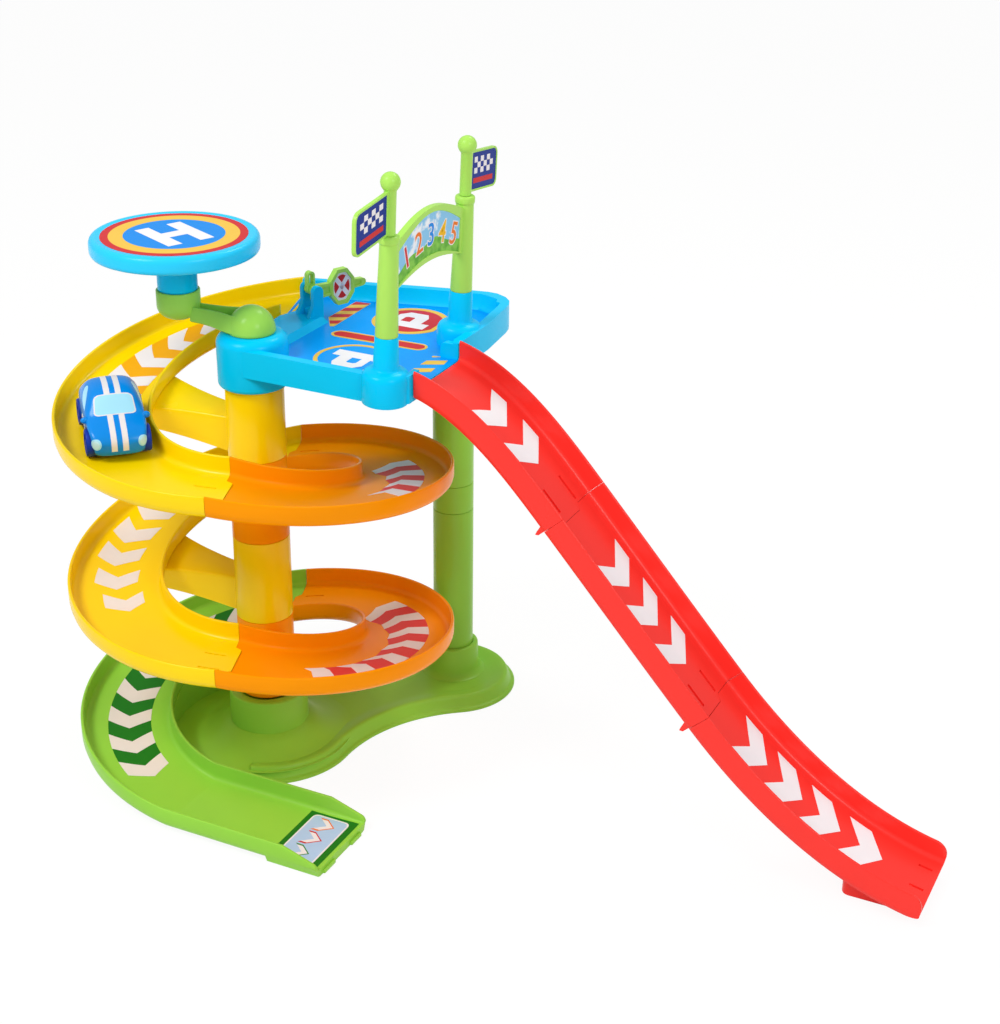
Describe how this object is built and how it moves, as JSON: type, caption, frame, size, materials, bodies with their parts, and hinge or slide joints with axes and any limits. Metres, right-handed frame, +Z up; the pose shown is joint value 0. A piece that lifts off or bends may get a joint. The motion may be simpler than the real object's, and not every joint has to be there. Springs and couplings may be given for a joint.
{
  "type": "toy race track",
  "caption": "Spiral toy car track round a column, with a deck, start gate, lift-up barrier, swivelling helipad, long ramp, exit chute and a small car.",
  "frame": {"origin": "on the floor, on the axis of the main column", "axes": "+Z up, +X along the ramp in plan, away from the column, +Y to the back"},
  "size_m": [0.6818, 0.3495, 0.4859],
  "materials": {
    "yellow_plastic": "moulded, satin gloss",
    "orange_plastic": "moulded, satin gloss",
    "green_plastic": "moulded, satin gloss",
    "light_green_plastic": "moulded, satin gloss",
    "blue_plastic": "moulded, satin gloss",
    "cyan_plastic": "moulded, satin gloss",
    "red_plastic": "moulded, satin gloss",
    "car_blue_plastic": "moulded, gloss",
    "dark_blue_plastic": "moulded, satin",
    "steel": "drawn wire"
  },
  "bodies": {
    "tower": {"base": "green_plastic", "lower_orange_track": "orange_plastic", "lower_yellow_track": "yellow_plastic", "upper_orange_track": "orange_plastic", "upper_yellow_track": "yellow_plastic", "pillar_lower": "light_green_plastic", "pillar_coupler": "light_green_plastic", "pillar_upper": "light_green_plastic", "deck": "blue_plastic", "gate_arch": "light_green_plastic", "flagpole_near": "light_green_plastic", "flagpole_far": "light_green_plastic", "barrier_pin": "steel", "ramp_top": "red_plastic", "ramp_middle": "red_plastic", "ramp_bottom": "red_plastic"},
    "barrier": {"barrier_arm": "light_green_plastic"},
    "helipad_swivel": {"helipad_arm": "green_plastic"},
    "helipad": {"helipad_disc": "cyan_plastic"},
    "car": {"car_body": "car_blue_plastic", "car_chassis": "dark_blue_plastic"},
    "front_wheels": {"car_axle_front": "steel", "car_wheel_front_left": "dark_blue_plastic", "car_wheel_front_right": "dark_blue_plastic"},
    "rear_wheels": {"car_axle_rear": "steel", "car_wheel_rear_left": "dark_blue_plastic", "car_wheel_rear_right": "dark_blue_plastic"}
  },
  "joints": [
    {"name": "barrier_lift", "type": "hinge", "parent": "tower", "child": "barrier", "pos_m": [-0.001, 0.086, 0.354], "axis": [0.9135, -0.4067, 0], "range_deg": [0, 80]},
    {"name": "helipad_swing", "type": "hinge", "parent": "tower", "child": "helipad_swivel", "pos_m": [0, 0, 0.35], "axis": [0, 0, 1], "range_deg": [-140, 140]},
    {"name": "helipad_spin", "type": "hinge", "parent": "helipad_swivel", "child": "helipad", "pos_m": [-0.06092, -0.00319, 0.365], "axis": [0, 0, 1], "continuous": true},
    {"name": "car_lift", "type": "slide", "parent": "tower", "child": "car", "axis": [0, 0, 1], "range_m": [0, 0.03]},
    {"name": "front_wheel_spin", "type": "hinge", "parent": "car", "child": "front_wheels", "pos_m": [-0.05973, -0.08887, 0.28316], "axis": [0.7254, 0.6884, 0], "continuous": true},
    {"name": "rear_wheel_spin", "type": "hinge", "parent": "car", "child": "rear_wheels", "pos_m": [-0.08961, -0.05739, 0.2904], "axis": [0.7254, 0.6884, 0], "continuous": true}
  ]
}
